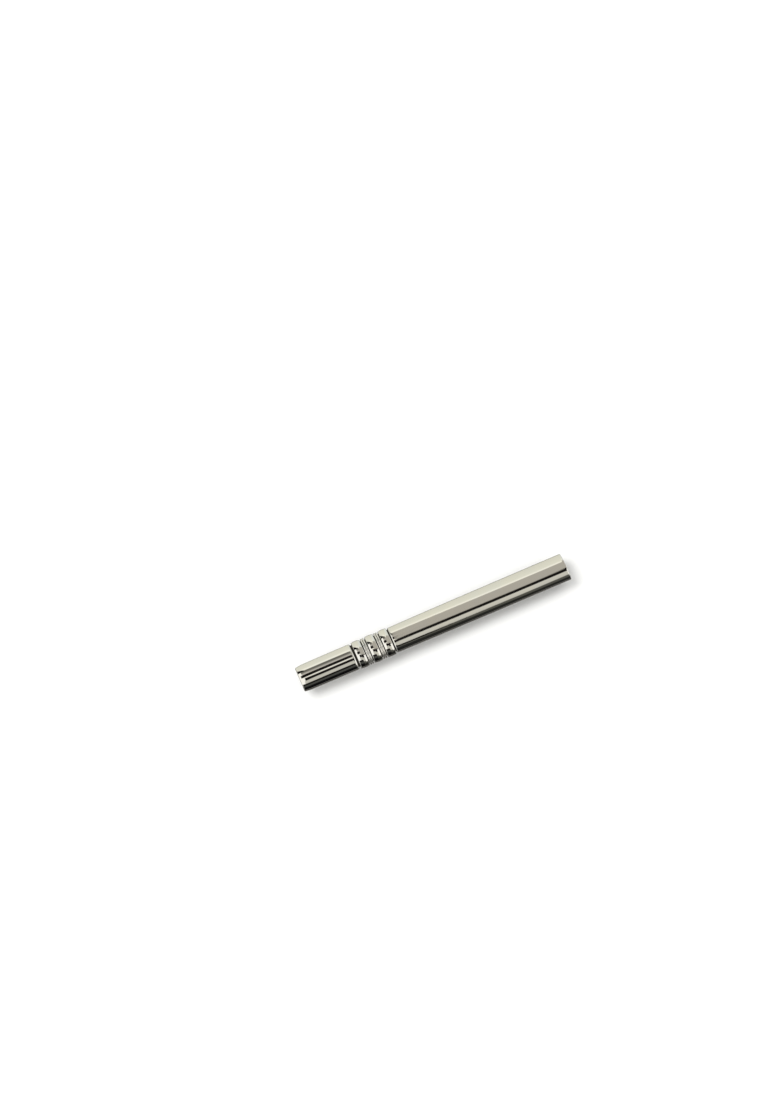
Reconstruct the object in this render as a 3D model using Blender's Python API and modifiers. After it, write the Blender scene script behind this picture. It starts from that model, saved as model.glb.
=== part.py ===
"""Tie bar with a spring-hinged clasp.

A polished D-section bar lies across the front of a necktie.  Two barrels, three beads and four thin
trim rings are threaded on a core rail, and the barrels' outer ends are closed by end plugs.  A bracket
riveted to the back of the long barrel ends in two ears close to the bar's end.  They carry the pin of
a folded sheet arm, and a flat leaf spring bears on the arm's cam and keeps its crest against the back
of the short barrel.  The tie slips between arm and bar from the mouth end.

Frame: +X along the bar towards the hinge end, +Z out of the front of the bar, origin on the flat
underside of the arm, midway along the bar.  Dimensions are in millimetres until they reach Blender.
"""
import math

import bmesh
import bpy
from mathutils import Matrix, Vector

MM = 0.001
GAP = 0.05                      # clearance between pieces that are pressed or laid together

# Front bar
BAR_LENGTH = 58.0
BACK_Z = 2.65                   # height of the bar's flat back above the underside of the arm
BAR_HEIGHT = 1.7
BAR_HALF_WIDTH = 2.86
BEAD_HALF_WIDTH = 2.90
RING_INSET = 0.06               # how far the trim rings sit below the barrels' surface
TOP_HALF_FLAT = 0.745
CROWN_RADIUS = 3.90
SIDE_FILLET = 0.35
BACK_FILLET = 0.25
WALL = 0.45
LEAST_FILLET = 0.08             # smallest fillet left when the outline is set in
BARREL_EDGE = 0.06              # bevels on the ends of the pieces
BEAD_EDGE = 0.20
RING_EDGE = 0.06
PLUG_EDGE = 0.05

# Lengths along the bar, from the mouth end
SHORT_BARREL_LENGTH = 11.86
SHORT_GROOVE = 0.34
LONG_GROOVE = 0.20
BEAD_LENGTH = 1.80
BEAD_COUNT = 3
RING_LENGTH = 0.33
RING_BEAD_GAP = 0.18
RING_RING_GAP = 0.08
PLUG_LENGTH = 1.2

# Hinge pin
PIN_X = 27.5
PIN_Z = BACK_Z - 1.50
PIN_RADIUS = 0.40
PIN_HOLE_RADIUS = 0.45
PIN_HEAD_RADIUS = 0.62
PIN_HEAD_THICKNESS = 0.18
PIN_HEAD_CHAMFER = 0.06

# Bracket
BRACKET_SHEET = 0.40
BRACKET_X0 = 14.5
BRACKET_HALF_WIDTH = 1.95
BRACKET_LIP = 0.10
BRACKET_INNER_BEND = 0.10       # radius inside the fold
BRACKET_CORNER = 0.7
EAR_RADIUS = 0.95
EAR_BASE = 2.2                  # how far the ears' foot reaches from the pin along the bracket

# Leaf spring
LEAF_X0 = 15.2
LEAF_X1 = 28.2
LEAF_HALF_WIDTH = 1.40
LEAF_THICKNESS = 0.18
LEAF_CORNER = 0.5
LEAF_TOP = BACK_Z - GAP - BRACKET_SHEET - GAP

# Rivets through the leaf spring and the bracket into the rail
RIVET_X = (16.5, 19.7)
RIVET_RADIUS = 0.50
RIVET_HOLE_RADIUS = 0.55
RIVET_HEAD_RADIUS = 0.85
RIVET_HEAD_HEIGHT = 0.32
RIVET_RIM = 0.12
RIVET_DEPTH_IN_RAIL = 0.40

# Arm
ARM_SHEET = 0.40
ARM_FOLD_RADIUS = 0.50
ARM_LIP = 0.25                  # straight part of the folded side, above the fold
ARM_TAIL_X = 28.3
ARM_HINGE_HALF_WIDTH = 1.50
ARM_HALF_WIDTH = 1.85
ARM_FRONT_HALF_WIDTH = 1.60
NECK_X0 = 25.7                  # the arm widens from its hinge width between these two places
NECK_X1 = 23.0
CAM_RADIUS = 0.78
CAM_FLAT = 0.70                 # height of the cam's flat above the pin's axis
UNFOLD_X0 = -11.5               # the folded sides open out flat between these two places
UNFOLD_X1 = -15.0
RISE_X = -15.5
RISE_ANGLE = math.radians(22.0)
RISE_RADIUS = 4.0
CREST_RADIUS = 1.5
CREST_GAP = 0.05
TAB_ANGLE = math.radians(30.0)
TAB_LENGTH = 2.6
TAB_ROUND = 1.2
FOLD_STEPS = 3
OPEN_FLAT = 0.55                # shares of the front half width where the sides have opened out flat
OPEN_FOLD = 0.33
OPEN_LIP = 0.12

# Cutters reach past what they cut
CUTTER_REACH = 4.0
CUTTER_MARGIN = 1.0


def remove_scene_objects():
    for obj in list(bpy.data.objects):
        bpy.data.objects.remove(obj, do_unlink=True)


def new_collection(name):
    collection = bpy.data.collections.new(name)
    bpy.context.scene.collection.children.link(collection)
    return collection


def metal(name, colour, roughness):
    material = bpy.data.materials.new(name)
    material.use_nodes = True
    shader = material.node_tree.nodes["Principled BSDF"]
    shader.inputs["Base Color"].default_value = (*colour, 1.0)
    shader.inputs["Metallic"].default_value = 1.0
    shader.inputs["Roughness"].default_value = roughness
    return material


def arc(centre, radius, start_deg, end_deg, steps):
    """Points on a circle from start to end, both included, angles from the first axis."""
    points = []
    for i in range(steps + 1):
        angle = math.radians(start_deg + (end_deg - start_deg) * i / steps)
        points.append((centre[0] + radius * math.cos(angle), centre[1] + radius * math.sin(angle)))
    return points


def d_outline(inset=0.0, half_width=BAR_HALF_WIDTH):
    """The bar's section as (y, z) points: flat back, rounded sides, crowned facets and a flat top."""
    half = half_width - inset
    crown = CROWN_RADIUS - inset
    fillet = max(SIDE_FILLET - inset, LEAST_FILLET)
    back_fillet = max(BACK_FILLET - inset, LEAST_FILLET)
    back = BACK_Z + inset
    crown_centre = (TOP_HALF_FLAT, BACK_Z + BAR_HEIGHT - CROWN_RADIUS)
    shoulder = math.degrees(math.acos((half - fillet - TOP_HALF_FLAT) / (crown - fillet)))
    reach = crown - fillet
    fillet_centre = (half - fillet, crown_centre[1] + reach * math.sin(math.radians(shoulder)))
    right = arc((half - back_fillet, back + back_fillet), back_fillet, -90, 0, 2)
    right += arc(fillet_centre, fillet, 0, shoulder, 3)
    right += arc(crown_centre, crown, shoulder, 90, 5)[1:]
    left = [(-y, z) for y, z in reversed(right)]
    return right + left


def rounded_rectangle(x0, x1, y0, y1, radius, steps=4):
    points = arc((x1 - radius, y1 - radius), radius, 0, 90, steps)
    points += arc((x0 + radius, y1 - radius), radius, 90, 180, steps)
    points += arc((x0 + radius, y0 + radius), radius, 180, 270, steps)
    points += arc((x1 - radius, y0 + radius), radius, 270, 360, steps)
    return points


# Rotations that stand a flat outline, drawn in its own X and Y, in one of the planes of the part.
PLANE_YZ = Matrix(((0, 0, 1), (1, 0, 0), (0, 1, 0)))      # outline (y, z), thickness along X
PLANE_XZ = Matrix(((1, 0, 0), (0, 0, -1), (0, 1, 0)))     # outline (x, z), thickness along Y
PLANE_XY = Matrix.Identity(3)                             # outline (x, y), thickness along Z


def extruded(name, collection, outlines, thickness, plane, centre=(0.0, 0.0, 0.0)):
    """A flat outline, with any inner outlines as holes, thickened evenly about its plane."""
    curve = bpy.data.curves.new(name + "_outline", "CURVE")
    curve.dimensions = "2D"
    curve.fill_mode = "BOTH"
    curve.extrude = 0.5 * thickness * MM
    for outline in outlines:
        spline = curve.splines.new("POLY")
        spline.points.add(len(outline) - 1)
        for point, (u, v) in zip(spline.points, outline):
            point.co = (u * MM, v * MM, 0.0, 1.0)
        spline.use_cyclic_u = True
    guide = bpy.data.objects.new(name + "_outline", curve)
    collection.objects.link(guide)
    guide.rotation_euler = plane.to_euler()
    guide.location = Vector(centre) * MM
    obj = mesh_from_curve(name, collection, guide)
    return obj


def mesh_from_curve(name, collection, guide):
    bpy.context.view_layer.update()
    evaluated = guide.evaluated_get(bpy.context.evaluated_depsgraph_get())
    mesh = bpy.data.meshes.new_from_object(evaluated)
    mesh.name = name
    welded = bmesh.new()
    welded.from_mesh(mesh)
    bmesh.ops.remove_doubles(welded, verts=welded.verts, dist=1e-7)
    bmesh.ops.recalc_face_normals(welded, faces=welded.faces)
    welded.to_mesh(mesh)
    welded.free()
    obj = bpy.data.objects.new(name, mesh)
    collection.objects.link(obj)
    obj.matrix_world = guide.matrix_world.copy()
    bpy.data.objects.remove(guide, do_unlink=True)
    return obj


def turned(name, collection, profile, centre, axis, steps=24):
    """A solid of revolution: (radius, height) points from the top of the axis down to its foot."""
    mesh = bpy.data.meshes.new(name)
    vertices = [(radius * MM, 0.0, height * MM) for radius, height in profile]
    edges = [(i, i + 1) for i in range(len(vertices) - 1)]
    mesh.from_pydata(vertices, edges, [])
    obj = bpy.data.objects.new(name, mesh)
    collection.objects.link(obj)
    obj.location = Vector(centre) * MM
    obj.rotation_euler = Vector((0.0, 0.0, 1.0)).rotation_difference(Vector(axis)).to_euler()
    screw = obj.modifiers.new("Turn", "SCREW")
    screw.steps = steps
    screw.render_steps = steps
    screw.use_merge_vertices = True
    screw.merge_threshold = 1e-7
    screw.use_smooth_shade = False
    return obj


def rod(name, collection, radius, z0, z1, centre, axis, steps=24):
    return turned(name, collection, [(0.0, z1), (radius, z1), (radius, z0), (0.0, z0)], centre, axis, steps)


def cut(obj, cutter, operation="DIFFERENCE"):
    modifier = obj.modifiers.new(cutter.name, "BOOLEAN")
    modifier.operation = operation
    modifier.solver = "EXACT"
    modifier.object = cutter
    cutter.hide_render = True
    cutter.display_type = "WIRE"


def soften(obj, width, segments=2):
    """Round the hard edges of a welded solid."""
    modifier = obj.modifiers.new("Soften", "BEVEL")
    modifier.width = width * MM
    modifier.segments = segments
    modifier.limit_method = "ANGLE"
    modifier.angle_limit = math.radians(40.0)


def finish(obj, material, smooth=True):
    obj.data.materials.clear()
    obj.data.materials.append(material)
    if smooth:
        obj.data.shade_smooth()
        obj.data.set_sharp_from_angle(angle=math.radians(35.0))


def along_bar(start, length):
    """Centre of a piece of the front bar that starts at this distance from the mouth end."""
    return (-0.5 * BAR_LENGTH + start + 0.5 * length, 0.0, 0.0)


def bar_tube(name, parts, start, length, material, edge, inset=0.0, half_width=BAR_HALF_WIDTH):
    """A D-section tube around the core rail."""
    outlines = [d_outline(inset, half_width), d_outline(WALL)]
    obj = extruded(name, parts, outlines, length, PLANE_YZ, along_bar(start, length))
    soften(obj, edge)
    finish(obj, material)
    return obj


def front_pieces(parts, material):
    """Barrels, beads and trim rings in their order along the bar; returns the long barrel."""
    bar_tube("short_barrel", parts, 0.0, SHORT_BARREL_LENGTH, material, BEAD_EDGE)
    start = SHORT_BARREL_LENGTH + SHORT_GROOVE
    ring = 1
    for bead in range(1, BEAD_COUNT + 1):
        bar_tube(f"bead_{bead}", parts, start, BEAD_LENGTH, material, BEAD_EDGE, 0.0, BEAD_HALF_WIDTH)
        start += BEAD_LENGTH
        if bead == BEAD_COUNT:
            break
        start += RING_BEAD_GAP
        for _ in range(2):
            bar_tube(f"trim_ring_{ring}", parts, start, RING_LENGTH, material, RING_EDGE, RING_INSET)
            start += RING_LENGTH + RING_RING_GAP
            ring += 1
        start += RING_BEAD_GAP - RING_RING_GAP
    start += LONG_GROOVE
    return bar_tube("long_barrel", parts, start, BAR_LENGTH - start, material, BARREL_EDGE)


def core_rail(parts, material):
    length = BAR_LENGTH - 2.0 * (PLUG_LENGTH + GAP)
    outline = d_outline(WALL + GAP)
    obj = extruded("core_rail", parts, [outline], length, PLANE_YZ, along_bar(PLUG_LENGTH + GAP, length))
    finish(obj, material)
    return obj


def end_plug(name, parts, start, material):
    outline = d_outline(WALL + GAP)
    obj = extruded(name, parts, [outline], PLUG_LENGTH, PLANE_YZ, along_bar(start, PLUG_LENGTH))
    soften(obj, PLUG_EDGE, 1)
    finish(obj, material)


def bracket_channel():
    """The bracket's folded section as (y, z) points, open downwards."""
    top = BACK_Z - GAP
    foot = PIN_Z - 2.0 * EAR_RADIUS
    outer = BRACKET_HALF_WIDTH
    inner = outer - BRACKET_SHEET
    fold = BRACKET_SHEET + BRACKET_INNER_BEND
    right = [(inner, foot), (outer, foot)]
    right += arc((outer - fold, top - fold), fold, 0, 90, 3)
    left = [(-y, z) for y, z in reversed(right)]
    under = top - BRACKET_SHEET
    return left[:-1] + [(-inner, foot), (-inner, under), (inner, under)] + right


def bracket_side():
    """The bracket seen from the side as (x, z) points: a strip that ends in an ear round the pin."""
    above = BACK_Z + CUTTER_MARGIN
    before = BRACKET_X0 - CUTTER_MARGIN
    strip = BACK_Z - GAP - BRACKET_SHEET - BRACKET_LIP
    points = [(before, above), (before, strip), (PIN_X - EAR_BASE, strip)]
    points += arc((PIN_X, PIN_Z), EAR_RADIUS, 230, 360, 9)
    points.append((PIN_X + EAR_RADIUS, above))
    return points


def pin_hole(name, cutters):
    return rod(name, cutters, PIN_HOLE_RADIUS, -CUTTER_REACH, CUTTER_REACH, (PIN_X, 0.0, PIN_Z), (0, 1, 0))


def hinge_bracket(parts, cutters, material):
    length = PIN_X + EAR_RADIUS + CUTTER_MARGIN - BRACKET_X0
    middle = (BRACKET_X0 + 0.5 * length, 0.0, 0.0)
    obj = extruded("hinge_bracket", parts, [bracket_channel()], length, PLANE_YZ, middle)
    side = extruded("bracket_side", cutters, [bracket_side()], 2.0 * CUTTER_REACH, PLANE_XZ)
    cut(obj, side, "INTERSECT")
    half = BRACKET_HALF_WIDTH + GAP
    plan = rounded_rectangle(BRACKET_X0, BRACKET_X0 + 2.0 * length, -half, half, BRACKET_CORNER)
    plan_cutter = extruded("bracket_plan", cutters, [plan], 2.0 * CUTTER_REACH, PLANE_XY, (0.0, 0.0, BACK_Z))
    cut(obj, plan_cutter, "INTERSECT")
    cut(obj, pin_hole("bracket_pin_hole", cutters))
    finish(obj, material)
    return obj


def leaf_spring(parts, material):
    plan = rounded_rectangle(LEAF_X0, LEAF_X1, -LEAF_HALF_WIDTH, LEAF_HALF_WIDTH, LEAF_CORNER)
    middle = LEAF_TOP - 0.5 * LEAF_THICKNESS
    obj = extruded("leaf_spring", parts, [plan], LEAF_THICKNESS, PLANE_XY, (0.0, 0.0, middle))
    finish(obj, material)
    return obj


def rivet(name, parts, x, material):
    """Domed head against the leaf spring, shank up through the bracket and barrel into the rail."""
    under_leaf = LEAF_TOP - LEAF_THICKNESS - GAP - BACK_Z
    shank_top = WALL + GAP + RIVET_DEPTH_IN_RAIL
    profile = [(0.0, shank_top), (RIVET_RADIUS, shank_top), (RIVET_RADIUS, under_leaf)]
    profile.append((RIVET_HEAD_RADIUS, under_leaf))
    for u, v in arc((0.0, 0.0), 1.0, 0, -90, 4):
        radius = max(RIVET_HEAD_RADIUS * u, 0.0)
        if radius < 1e-6:
            radius = 0.0
        profile.append((radius, under_leaf - RIVET_RIM + v * (RIVET_HEAD_HEIGHT - RIVET_RIM)))
    obj = turned(name, parts, profile, (x, 0.0, BACK_Z), (0, 0, 1), 20)
    finish(obj, material)


def drill_rivet_holes(objects, cutters):
    depth = WALL + GAP + RIVET_DEPTH_IN_RAIL + GAP
    for number, x in enumerate(RIVET_X, 1):
        name = f"rivet_hole_{number}"
        hole = rod(name, cutters, RIVET_HOLE_RADIUS, -CUTTER_REACH, depth, (x, 0.0, BACK_Z), (0, 0, 1), 20)
        for obj in objects:
            cut(obj, hole)


def hinge_pin(parts, material):
    inside = BRACKET_HALF_WIDTH + GAP
    outside = inside + PIN_HEAD_THICKNESS
    chamfer = PIN_HEAD_CHAMFER
    half = [(0.0, outside), (PIN_HEAD_RADIUS - chamfer, outside), (PIN_HEAD_RADIUS, outside - chamfer)]
    half += [(PIN_HEAD_RADIUS, inside), (PIN_RADIUS, inside)]
    profile = half + [(radius, -height) for radius, height in reversed(half)]
    obj = turned("hinge_pin", parts, profile, (PIN_X, 0.0, PIN_Z), (0, 1, 0))
    finish(obj, material)


def fraction(value, start, end):
    return min(max((value - start) / (end - start), 0.0), 1.0)


def mix(start, end, share):
    return start + share * (end - start)


def cam_lip(x):
    """Length of the straight part of the arm's side at this place, with the cam round the pin."""
    from_pin = abs(x - PIN_X)
    tangent = CAM_RADIUS * math.sin(math.radians(45.0))
    if from_pin < tangent:
        top = PIN_Z + min(math.sqrt(CAM_RADIUS ** 2 - from_pin ** 2), CAM_FLAT)
    else:
        top = PIN_Z + 2.0 * tangent - from_pin
    return max(top - ARM_FOLD_RADIUS, ARM_LIP)


def arm_blank(x):
    """Half width of the flat web, width taken by the fold, straight side and fold angle at x."""
    half = mix(ARM_HINGE_HALF_WIDTH, ARM_HALF_WIDTH, fraction(x, NECK_X0, NECK_X1))
    half = mix(half, ARM_FRONT_HALF_WIDTH, fraction(x, NECK_X1, UNFOLD_X0))
    unfolded = fraction(x, UNFOLD_X0, UNFOLD_X1)
    flat = mix(half - ARM_FOLD_RADIUS, OPEN_FLAT * ARM_FRONT_HALF_WIDTH, unfolded)
    fold_width = mix(ARM_FOLD_RADIUS * math.pi / 2.0, OPEN_FOLD * ARM_FRONT_HALF_WIDTH, unfolded)
    lip = mix(cam_lip(x), OPEN_LIP * ARM_FRONT_HALF_WIDTH, unfolded)
    return flat, fold_width, lip, math.radians(90.0 * (1.0 - unfolded))


def arm_section(flat, fold_width, lip, angle):
    """One half of the folded section, from the middle outwards, as (y, height) points."""
    points = [(flat * i / 2.0, 0.0) for i in range(3)]
    y, height = flat, 0.0
    for step in range(FOLD_STEPS):
        heading = angle * (step + 0.5) / FOLD_STEPS
        y += fold_width / FOLD_STEPS * math.cos(heading)
        height += fold_width / FOLD_STEPS * math.sin(heading)
        points.append((y, height))
    points.append((y + lip * math.cos(angle), height + lip * math.sin(angle)))
    return points


def arm_path():
    """Stations from tail to tab: (x, z, slope of the sheet, x that sets the section, its scale)."""
    places = [ARM_TAIL_X]
    places += [PIN_X + CAM_RADIUS * k for k in (0.707, 0.44, 0.0, -0.44, -0.707, -2.05)]
    places += [NECK_X0, 0.5 * (NECK_X0 + NECK_X1), NECK_X1, 6.0, UNFOLD_X0]
    places += [mix(UNFOLD_X0, UNFOLD_X1, k / 4.0) for k in range(1, 5)]
    stations = [(x, 0.0, 0.0, x, 1.0) for x in places]
    x, z, slope = RISE_X, 0.0, 0.0
    stations.append((x, z, slope, x, 1.0))
    turns = RISE_RADIUS + CREST_RADIUS
    climb = BACK_Z - CREST_GAP - ARM_SHEET - turns * (1.0 - math.cos(RISE_ANGLE))
    moves = [(RISE_ANGLE, RISE_RADIUS, 4), (None, climb / math.sin(RISE_ANGLE), 1)]
    moves += [(-RISE_ANGLE, CREST_RADIUS, 4), (-TAB_ANGLE, CREST_RADIUS, 4)]
    moves += [(None, TAB_LENGTH - TAB_ROUND, 1)]
    for turn, size, steps in moves:
        for _ in range(steps):
            if turn is None:
                length = size / steps
                heading = slope
            else:
                length = 2.0 * size * math.sin(0.5 * abs(turn) / steps)
                heading = slope + 0.5 * turn / steps
                slope += turn / steps
            x -= length * math.cos(heading)
            z += length * math.sin(heading)
            stations.append((x, z, slope, RISE_X, 1.0))
    for angle in (30.0, 55.0, 75.0):
        along = TAB_ROUND * math.sin(math.radians(angle))
        scale = math.cos(math.radians(angle)) ** 0.7
        stations.append((x - along * math.cos(slope), z + along * math.sin(slope), slope, RISE_X, scale))
    return stations


def arm_sheet():
    """The underside of the arm as one open sheet, in the frame of the hinge."""
    sheet = bmesh.new()
    pivot = Vector((PIN_X, 0.0, PIN_Z))
    rows = []
    for x, z, slope, key, scale in arm_path():
        half = arm_section(*arm_blank(key))
        row = []
        for side, points in ((-1.0, list(reversed(half[1:]))), (1.0, half)):
            for y, height in points:
                place = (x + height * math.sin(slope), side * y * scale, z + height * math.cos(slope))
                row.append(sheet.verts.new((Vector(place) - pivot) * MM))
        rows.append(row)
    for near, far in zip(rows, rows[1:]):
        for i in range(len(near) - 1):
            sheet.faces.new((near[i], far[i], far[i + 1], near[i + 1]))
    mesh = bpy.data.meshes.new("clasp_arm")
    sheet.to_mesh(mesh)
    sheet.free()
    return mesh


def clasp_arm(parts, cutters, material):
    obj = bpy.data.objects.new("clasp_arm", arm_sheet())
    parts.objects.link(obj)
    obj.location = Vector((PIN_X, 0.0, PIN_Z)) * MM
    thick = obj.modifiers.new("Sheet", "SOLIDIFY")
    thick.thickness = ARM_SHEET * MM
    thick.offset = -1.0
    thick.use_even_offset = True
    cut(obj, pin_hole("arm_pin_hole", cutters))
    finish(obj, material)


def build():
    remove_scene_objects()
    parts = new_collection("tie_bar")
    cutters = new_collection("cutters")
    gunmetal = metal("polished_gunmetal", (0.44, 0.42, 0.38), 0.08)
    nickel = metal("plated_steel", (0.55, 0.53, 0.49), 0.22)
    spring_steel = metal("spring_steel", (0.40, 0.39, 0.37), 0.30)
    black_brass = metal("black_plated_brass", (0.05, 0.047, 0.043), 0.40)
    rail = core_rail(parts, black_brass)
    long_barrel = front_pieces(parts, gunmetal)
    end_plug("end_plug_mouth", parts, 0.0, gunmetal)
    end_plug("end_plug_hinge", parts, BAR_LENGTH - PLUG_LENGTH, gunmetal)
    bracket = hinge_bracket(parts, cutters, nickel)
    leaf = leaf_spring(parts, spring_steel)
    drill_rivet_holes((rail, long_barrel, bracket, leaf), cutters)
    for number, x in enumerate(RIVET_X, 1):
        rivet(f"bracket_rivet_{number}", parts, x, nickel)
    hinge_pin(parts, nickel)
    clasp_arm(parts, cutters, nickel)


build()
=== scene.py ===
"""Looks of the polished tie bar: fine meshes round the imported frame, materials, studio and camera.

The frame is in metres, +X along the bar towards the hinge end and +Z out of the front of the bar.
Lengths here are in millimetres until they reach Blender.
"""

import math

import bmesh
import bpy
from mathutils import Matrix, Vector


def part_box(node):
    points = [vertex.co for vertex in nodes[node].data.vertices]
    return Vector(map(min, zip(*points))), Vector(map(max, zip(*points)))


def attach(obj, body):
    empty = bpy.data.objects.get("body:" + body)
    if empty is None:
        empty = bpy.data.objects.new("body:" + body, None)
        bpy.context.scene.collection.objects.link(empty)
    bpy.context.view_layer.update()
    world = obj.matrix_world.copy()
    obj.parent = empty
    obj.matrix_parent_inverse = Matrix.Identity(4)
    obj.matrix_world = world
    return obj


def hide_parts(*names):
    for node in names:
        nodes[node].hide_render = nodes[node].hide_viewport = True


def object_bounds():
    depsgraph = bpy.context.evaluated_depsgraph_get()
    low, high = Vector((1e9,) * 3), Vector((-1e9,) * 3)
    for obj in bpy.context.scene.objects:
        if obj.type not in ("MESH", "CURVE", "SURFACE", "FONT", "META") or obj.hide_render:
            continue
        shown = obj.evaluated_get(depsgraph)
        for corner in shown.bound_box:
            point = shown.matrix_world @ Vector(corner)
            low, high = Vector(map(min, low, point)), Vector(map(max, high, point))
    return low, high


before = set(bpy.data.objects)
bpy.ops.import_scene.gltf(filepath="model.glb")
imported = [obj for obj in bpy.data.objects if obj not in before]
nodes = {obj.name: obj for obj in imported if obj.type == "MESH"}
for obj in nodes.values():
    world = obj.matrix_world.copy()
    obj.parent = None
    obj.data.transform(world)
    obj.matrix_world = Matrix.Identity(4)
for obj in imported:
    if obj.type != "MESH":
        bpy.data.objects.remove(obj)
cad_low, cad_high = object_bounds()

MM = 0.001


# ---------------------------------------------------------------- node trees
class Tree:
    """Short ways to add nodes to a node tree and link them."""

    def __init__(self, tree):
        self.tree = tree

    def node(self, kind, **settings):
        """A new node of this kind, with these settings."""
        made = self.tree.nodes.new(kind)
        for key, value in settings.items():
            setattr(made, key, value)
        return made

    def feed(self, socket, value):
        """Link an output to a socket, or set the socket to a number, vector or colour."""
        if isinstance(value, bpy.types.NodeSocket):
            self.tree.links.new(value, socket)
        elif isinstance(value, tuple) and len(value) == 3 and socket.type == "RGBA":
            socket.default_value = (*value, 1.0)
        else:
            socket.default_value = value

    def math(self, operation, *values):
        """The result of one operation on numbers or outputs."""
        made = self.node("ShaderNodeMath", operation=operation)
        for socket, value in zip(made.inputs, values):
            self.feed(socket, value)
        return made.outputs[0]

    def smooth(self, value, low, high):
        """0 at low and 1 at high, with a soft run between them; low may be the larger."""
        made = self.node("ShaderNodeMapRange", interpolation_type="SMOOTHSTEP")
        self.feed(made.inputs["Value"], value)
        flip = low > high
        self.feed(made.inputs["From Min"], high if flip else low)
        self.feed(made.inputs["From Max"], low if flip else high)
        self.feed(made.inputs["To Min"], 1.0 if flip else 0.0)
        self.feed(made.inputs["To Max"], 0.0 if flip else 1.0)
        return made.outputs["Result"]

    def mix(self, factor, a, b):
        """Colour a where the factor is 0 and b where it is 1."""
        made = self.node("ShaderNodeMix", data_type="RGBA")
        sockets = {socket.identifier: socket for socket in made.inputs}
        self.feed(sockets["Factor_Float"], factor)
        self.feed(sockets["A_Color"], a)
        self.feed(sockets["B_Color"], b)
        return made.outputs[2]

    def ramp(self, factor, stops, low, high):
        """A colour ramp through (value, colour) stops between two values."""
        made = self.node("ShaderNodeValToRGB")
        band = made.color_ramp
        for index, (value, colour) in enumerate(stops):
            position = (value - low) / (high - low)
            if index < 2:
                element = band.elements[index]
                element.position = position
            else:
                element = band.elements.new(position)
            element.color = (*colour, 1.0)
        share = self.node("ShaderNodeMapRange")
        self.feed(share.inputs["Value"], factor)
        self.feed(share.inputs["From Min"], low)
        self.feed(share.inputs["From Max"], high)
        self.tree.links.new(share.outputs["Result"], made.inputs["Fac"])
        return made.outputs["Color"]


# ---------------------------------------------------------------- sections of the front pieces
# A section runs from the middle of its top outwards through tangent arcs, each given as its radius and
# the tilt of the surface's normal from upright where the arc ends. None is the radius that gives the
# piece its width.
SECTION_ARCS = ((4.9, 19.0), (None, 32.0), (0.45, 90.0))
TOP_HALF = 0.02                 # half width of the flat at the middle of the top
BACK_CORNER = 0.25              # rounding between the side and the back
LEAST_RADIUS = 0.03             # what is left of a radius that the inset would use up
WALL = 0.45
ARC_STEPS = 12
SIDE_STEPS = 3
CORNER_STEPS = 6
BACK_STEPS = 6

# Ends of the front pieces, each as its crown's reach along the bar, its crown's depth and its edge radius.
LONG_LEFT, LONG_RIGHT = (0.3, 0.01, 0.26), (0.4, 0.03, 0.10)
SHORT_LEFT, SHORT_RIGHT = (1.6, 0.16, 0.15), (0.15, 0.01, 0.35)
BEAD_CROWN, BEAD_EDGE = 0.10, 0.14
RING_CROWN, RING_EDGE = 0.05, 0.04
LONG_TAPER, LONG_WAIST = 0.16, 0.02     # what the barrels' half widths lose
SHORT_SLIMMER, SHORT_TAPER = 0.10, 0.06
EDGE_TILT = 88.0                # tilt at the outermost point of an edge, in degrees
EDGE_STEPS = 6
CROWN_STEPS = 8
LONG_STEPS, SHORT_STEPS, CROWNED_STEPS = 24, 12, 2

PLUG_GAP = 0.05                 # between the plug and the bore
PLUG_RIM = 0.05
PLUG_DOME = 0.25                # width of the domed border inside the rim
PLUG_STEPS = 4

SHARP_ANGLE = 40.0              # edges sharper than this, in degrees, stay sharp when shaded smooth
CREASE_ANGLE = 38.0             # the same, after the modifiers
BEVEL_ANGLE = 35.0
BEVEL_SEGMENTS = 3
WELD_REACH = 0.001


def arc_points(start, radius, tilt0, tilt1, steps):
    """Points along an arc from start, which isn't repeated; tilts in degrees from upright."""
    y, z = start
    begin = math.radians(tilt0)
    points = []
    for i in range(1, steps + 1):
        tilt = math.radians(tilt0 + (tilt1 - tilt0) * i / steps)
        across = radius * (math.sin(tilt) - math.sin(begin))
        up = radius * (math.cos(tilt) - math.cos(begin))
        points.append((y + across, z + up))
    return points


def spans():
    """The arcs as (radius or None, tilt where it starts, tilt where it ends)."""
    tilt = 0.0
    for radius, end in SECTION_ARCS:
        yield radius, tilt, end
        tilt = end


def half_outline(half_width, height, inset):
    """(y, z) points from the middle of the top to the middle of the back, the outline set in by inset."""
    width = half_width - inset
    used = TOP_HALF
    free = 1.0
    for radius, start, end in spans():
        reach = math.sin(math.radians(end)) - math.sin(math.radians(start))
        if radius is None:
            free = reach
        else:
            used += max(radius - inset, LEAST_RADIUS) * reach
    points = [(0.0, height - inset), (TOP_HALF, height - inset)]
    for radius, start, end in spans():
        size = (width - used) / free if radius is None else max(radius - inset, LEAST_RADIUS)
        points += arc_points(points[-1], size, start, end, ARC_STEPS)
    corner = max(BACK_CORNER - inset, LEAST_RADIUS)
    y, z = points[-1]
    foot = inset + corner
    points += [(y, z + (foot - z) * i / SIDE_STEPS) for i in range(1, SIDE_STEPS + 1)]
    points += arc_points(points[-1], corner, 90.0, 180.0, CORNER_STEPS)
    y, z = points[-1]
    points += [(y * (1.0 - i / BACK_STEPS), z) for i in range(1, BACK_STEPS + 1)]
    return points


def outline(half_width, height, inset):
    """The closed outline, both sides of the middle, set in by inset."""
    right = half_outline(half_width, height, inset)
    left = [(-y, z) for y, z in reversed(right[1:-1])]
    return right + left


def bridge(shape, loops):
    """Faces between each closed loop of vertices and the next."""
    for near, far in zip(loops, loops[1:]):
        for i in range(len(near)):
            j = (i + 1) % len(near)
            shape.faces.new((near[i], near[j], far[j], far[i]))


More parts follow.
